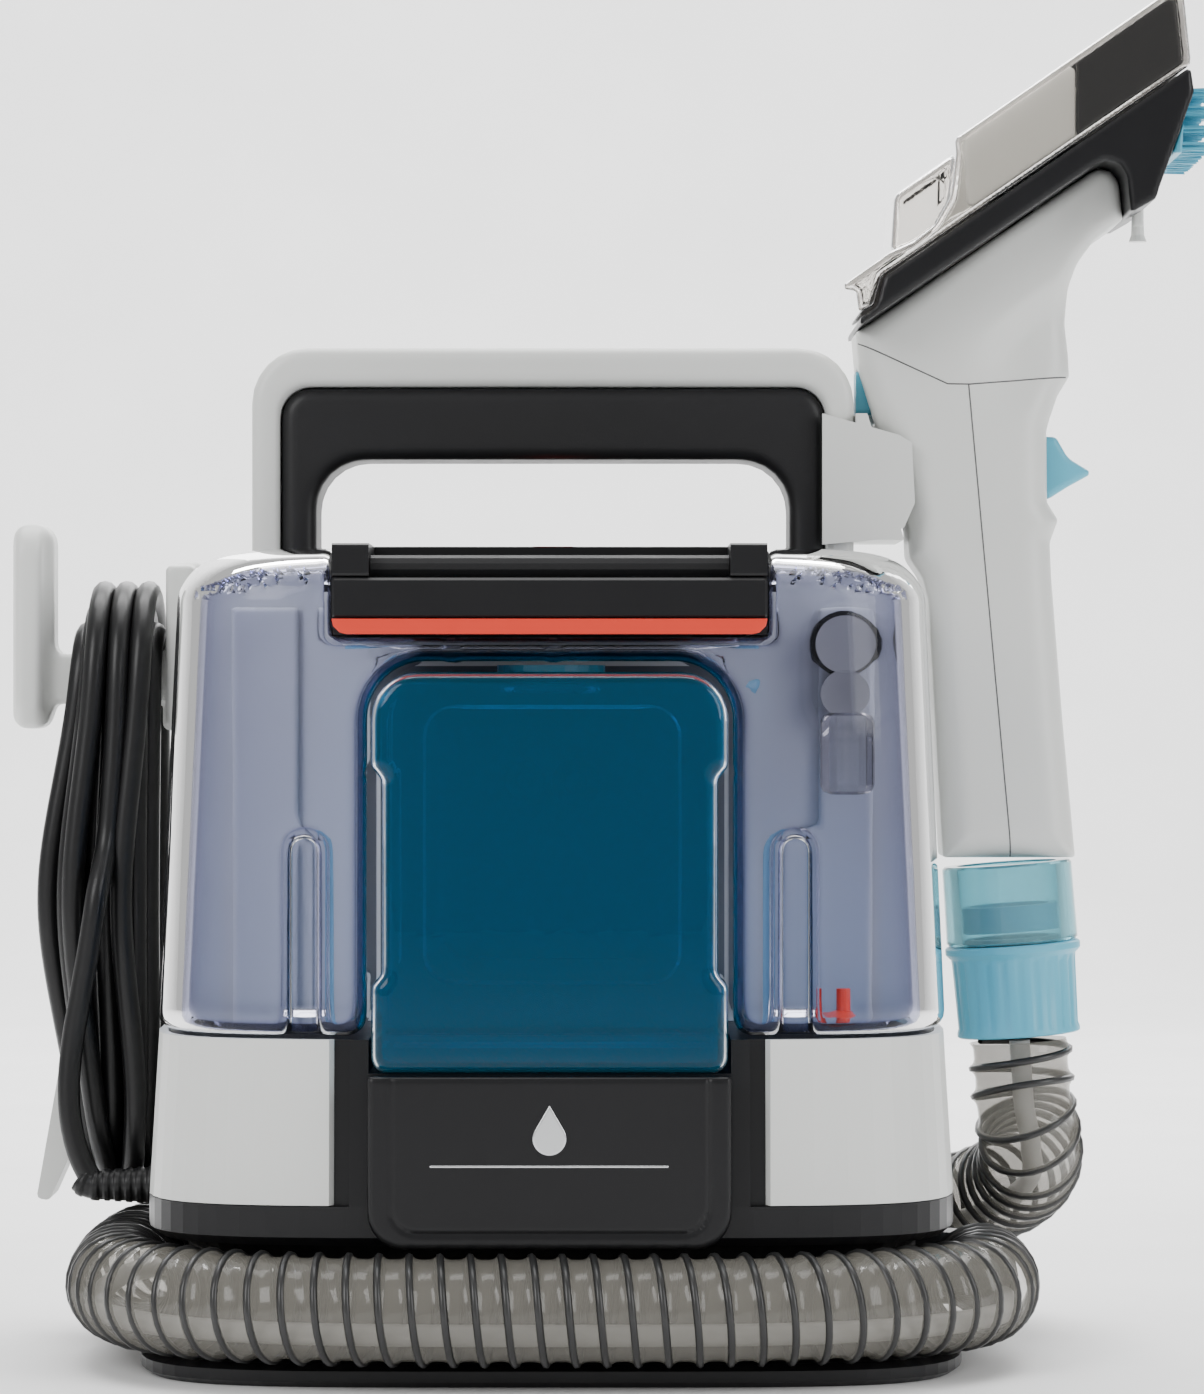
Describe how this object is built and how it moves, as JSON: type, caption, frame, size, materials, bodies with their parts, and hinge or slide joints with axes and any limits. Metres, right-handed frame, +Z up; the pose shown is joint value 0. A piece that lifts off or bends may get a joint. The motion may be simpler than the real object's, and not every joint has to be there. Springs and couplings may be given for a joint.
{
  "type": "spot extractor",
  "caption": "Portable spot extractor with a straddling clear recovery tank, a blue clean-water tank, a carry handle, a hose wound round its waist and a docked hand tool.",
  "frame": {"origin": "on the floor under the middle of the body, on the base plate's underside", "axes": "+Z up, front faces -Y, the hand tool is on the +X side"},
  "size_m": [0.3906, 0.25, 0.4397],
  "materials": {
    "white_plastic": "satin",
    "black_plastic": "satin",
    "red_plastic": "gloss",
    "turquoise_plastic": "satin",
    "clear_violet_plastic": "gloss",
    "clear_blue_plastic": "gloss",
    "clear_smoke_plastic": "gloss",
    "clear_teal_plastic": "satin",
    "grey_plastic": "satin",
    "hose_film": "satin",
    "black_rubber": "matte",
    "steel": "brushed",
    "copper_winding": "satin",
    "circuit_board": "satin"
  },
  "bodies": {
    "machine": {"base_plate": "black_plastic", "rubber_foot_left": "black_rubber", "rubber_foot_right": "black_rubber", "hose_channel": "black_plastic", "lower_housing": "black_plastic", "side_panel_left": "white_plastic", "side_panel_right": "white_plastic", "badge_panel": "black_plastic", "tower_shell": "white_plastic", "tower_front_panel": "grey_plastic", "top_deck": "black_plastic", "power_switch": "grey_plastic", "handle_shell": "white_plastic", "handle_grip": "black_plastic", "tool_dock": "white_plastic", "upper_cord_hook": "white_plastic", "hook_pivot": "steel", "cord_coil": "black_rubber", "strain_relief": "black_rubber", "cord_lead": "black_rubber", "cord_tail": "black_rubber", "mains_plug": "black_rubber", "hose": "hose_film", "hose_elbow": "black_plastic", "tank_air_seal": "black_rubber", "motor_can": "steel", "fan_shroud": "grey_plastic", "tower_air_duct": "grey_plastic", "pump_body": "grey_plastic", "circuit_board": "circuit_board"},
    "recovery_tank": {"clear_tank_shell": "clear_violet_plastic"},
    "drain_valve": {"drain_valve": "red_plastic"},
    "float": {"shutoff_float": "white_plastic"},
    "tank_lid": {"tank_lid": "black_plastic", "tank_grip_bar": "grey_plastic"},
    "tank_latch": {"latch_plate": "black_plastic", "latch_lip": "red_plastic"},
    "clean_tank": {"blue_tank_shell": "clear_blue_plastic", "blue_tank_outlet": "black_rubber"},
    "clean_tank_cap": {"blue_tank_cap": "turquoise_plastic"},
    "power_button": {"power_button": "red_plastic"},
    "lower_hook": {"lower_cord_hook": "white_plastic"},
    "fan_rotor": {"motor_rotor": "copper_winding", "impeller": "white_plastic"},
    "pump_piston": {"pump_piston": "steel"},
    "hand_tool": {"tool_grip_shell": "white_plastic", "tool_head_shell": "white_plastic", "tool_collar": "clear_teal_plastic", "tool_suction_pipe": "grey_plastic", "hose_nipple": "grey_plastic", "trigger_pin": "steel"},
    "trigger": {"trigger": "turquoise_plastic"},
    "nozzle_release": {"nozzle_release": "turquoise_plastic"},
    "nozzle": {"nozzle_frame": "black_plastic", "nozzle_cover": "clear_smoke_plastic", "nozzle_duct": "white_plastic", "scrub_brush": "turquoise_plastic", "spray_tip": "white_plastic"},
    "hose_cuff": {"hose_cuff": "turquoise_plastic"}
  },
  "joints": [
    {"name": "tank_lift", "type": "slide", "parent": "machine", "child": "recovery_tank", "axis": [0, 0, 1], "range_m": [0, 0.065]},
    {"name": "drain_valve_lift", "type": "slide", "parent": "recovery_tank", "child": "drain_valve", "axis": [0, 0, 1], "range_m": [0, 0.004], "stiffness_N_per_m": 100, "springref_m": -0.002},
    {"name": "float_rise", "type": "slide", "parent": "recovery_tank", "child": "float", "axis": [0, 0, 1], "range_m": [0, 0.03]},
    {"name": "lid_hinge", "type": "hinge", "parent": "recovery_tank", "child": "tank_lid", "pos_m": [0, -0.02, 0.2555], "axis": [-1, 0, 0], "range_deg": [0, 75]},
    {"name": "latch_pull", "type": "hinge", "parent": "tank_lid", "child": "tank_latch", "pos_m": [0, -0.095, 0.244], "axis": [-1, 0, 0], "range_deg": [0, 5], "stiffness_Nm_per_rad": 0.1, "springref_deg": -5.73},
    {"name": "clean_tank_slide", "type": "slide", "parent": "machine", "child": "clean_tank", "axis": [0, -1, 0], "range_m": [0, 0.09]},
    {"name": "cap_turn", "type": "hinge", "parent": "clean_tank", "child": "clean_tank_cap", "pos_m": [0, -0.052, 0.2186], "axis": [0, 0, 1], "range_deg": [0, 90]},
    {"name": "power_press", "type": "slide", "parent": "machine", "child": "power_button", "axis": [0, 0, -1], "range_m": [0, 0.0022], "stiffness_N_per_m": 300, "springref_m": -0.002},
    {"name": "hook_turn", "type": "hinge", "parent": "machine", "child": "lower_hook", "pos_m": [-0.1285, 0.04, 0.072], "axis": [1, 0, 0], "range_deg": [0, 180]},
    {"name": "rotor_spin", "type": "hinge", "parent": "machine", "child": "fan_rotor", "pos_m": [0, 0.04, 0.119], "axis": [0, 0, 1], "continuous": true},
    {"name": "piston_stroke", "type": "slide", "parent": "machine", "child": "pump_piston", "axis": [-1, 0, 0], "range_m": [0, 0.004], "stiffness_N_per_m": 500, "springref_m": -0.002},
    {"name": "tool_lift", "type": "slide", "parent": "machine", "child": "hand_tool", "axis": [0, 0, 1], "range_m": [0, 0.045]},
    {"name": "trigger_pull", "type": "hinge", "parent": "hand_tool", "child": "trigger", "pos_m": [0.16, 0.022, 0.294], "axis": [0, 1, 0], "range_deg": [0, 10], "stiffness_Nm_per_rad": 0.3, "springref_deg": -5.73},
    {"name": "release_press", "type": "slide", "parent": "hand_tool", "child": "nozzle_release", "axis": [1, 0, 0], "range_m": [0, 0.002], "stiffness_N_per_m": 300, "springref_m": -0.002},
    {"name": "nozzle_slide", "type": "slide", "parent": "hand_tool", "child": "nozzle", "axis": [0.8241, 0, 0.5664], "range_m": [0, 0.05]},
    {"name": "cuff_turn", "type": "hinge", "parent": "hand_tool", "child": "hose_cuff", "pos_m": [0.1512, 0.022, 0.13], "axis": [0.0732, 0, -0.9973], "continuous": true}
  ]
}
